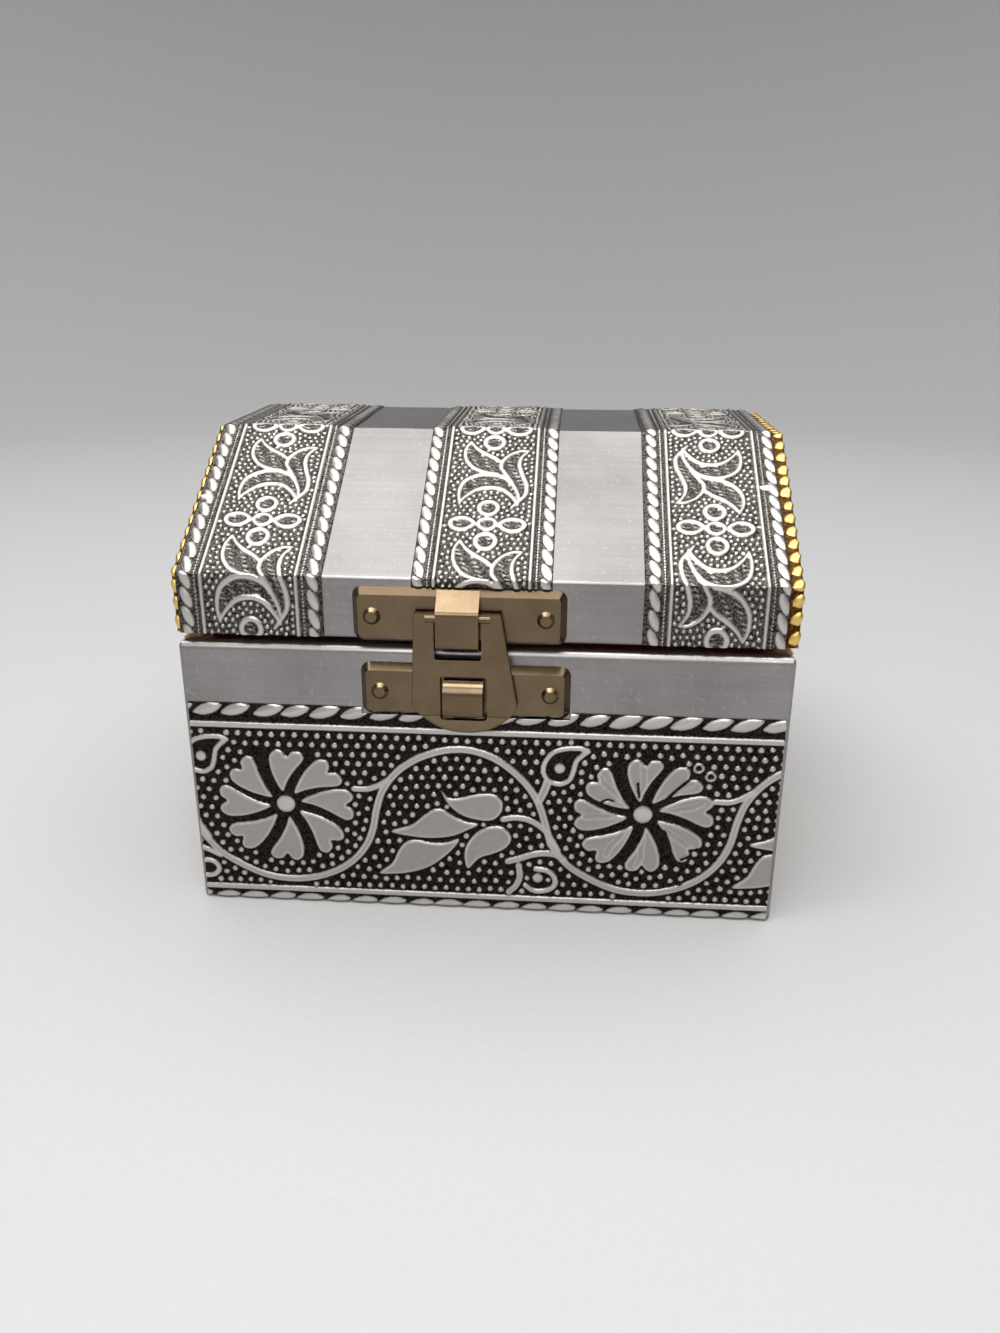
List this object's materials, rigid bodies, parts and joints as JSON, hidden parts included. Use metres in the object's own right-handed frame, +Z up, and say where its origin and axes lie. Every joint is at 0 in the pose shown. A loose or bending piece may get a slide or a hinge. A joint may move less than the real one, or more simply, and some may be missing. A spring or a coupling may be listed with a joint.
{
  "type": "trinket box",
  "caption": "Small chest-shaped wooden trinket box clad in embossed sheet metal, with a faceted dome lid on back hinges and a swinging brass hasp at the front.",
  "frame": {"origin": "centre of the underside, on the surface that the box stands on", "axes": "+Z up, the front with the hasp faces -Y, +X to the right as seen from the front"},
  "size_m": [0.1028, 0.101, 0.0811],
  "materials": {
    "silver_sheet": "embossed sheet with blackened ground, plain bands brushed",
    "gilt_sheet": "embossed gilt sheet with darkened ground",
    "wood": "bare softwood",
    "brass": "satin, slightly tarnished",
    "steel_pin": "plain drawn wire",
    "velvet": "velvet over card",
    "felt": "thin felt"
  },
  "bodies": {
    "box": {"base_felt": "felt", "body_front_board": "wood", "body_back_board": "wood", "body_left_end_board": "wood", "body_right_end_board": "wood", "body_floor_board": "wood", "body_front_sheet": "silver_sheet", "body_back_sheet": "silver_sheet", "body_left_end_sheet": "gilt_sheet", "body_right_end_sheet": "gilt_sheet", "body_front_band": "silver_sheet", "body_back_band": "silver_sheet", "body_floor_pad": "velvet", "body_wall_lining": "velvet", "catch_plate": "brass", "catch_plate_nails": "brass", "left_hinge_body_leaf": "brass", "right_hinge_body_leaf": "brass", "left_hinge_body_nails": "brass", "right_hinge_body_nails": "brass", "left_hinge_pin": "steel_pin", "right_hinge_pin": "steel_pin"},
    "lid": {"lid_left_end_board": "wood", "lid_right_end_board": "wood", "lid_front_rail": "wood", "lid_front_slope": "wood", "lid_crown_board": "wood", "lid_back_slope": "wood", "lid_back_rail": "wood", "lid_plain_sheet": "silver_sheet", "lid_strip_left": "silver_sheet", "lid_strip_centre": "silver_sheet", "lid_strip_right": "silver_sheet", "lid_left_end_sheet": "gilt_sheet", "lid_right_end_sheet": "gilt_sheet", "lid_dome_lining": "velvet", "lid_left_end_lining": "velvet", "lid_right_end_lining": "velvet", "hasp_plate": "brass", "hasp_plate_nails": "brass", "left_hinge_lid_leaf": "brass", "right_hinge_lid_leaf": "brass", "left_hinge_lid_nails": "brass", "right_hinge_lid_nails": "brass"},
    "hasp": {"hasp_tab": "brass"}
  },
  "joints": [
    {"name": "lid_hinge", "type": "hinge", "parent": "box", "child": "lid", "pos_m": [0, 0.048, 0.0503], "axis": [-1, 0, 0], "range_deg": [0, 180]},
    {"name": "hasp_swing", "type": "hinge", "parent": "lid", "child": "hasp", "pos_m": [-0.0036, -0.0492, 0.0555], "axis": [-1, 0, 0], "range_deg": [0, 180]}
  ]
}
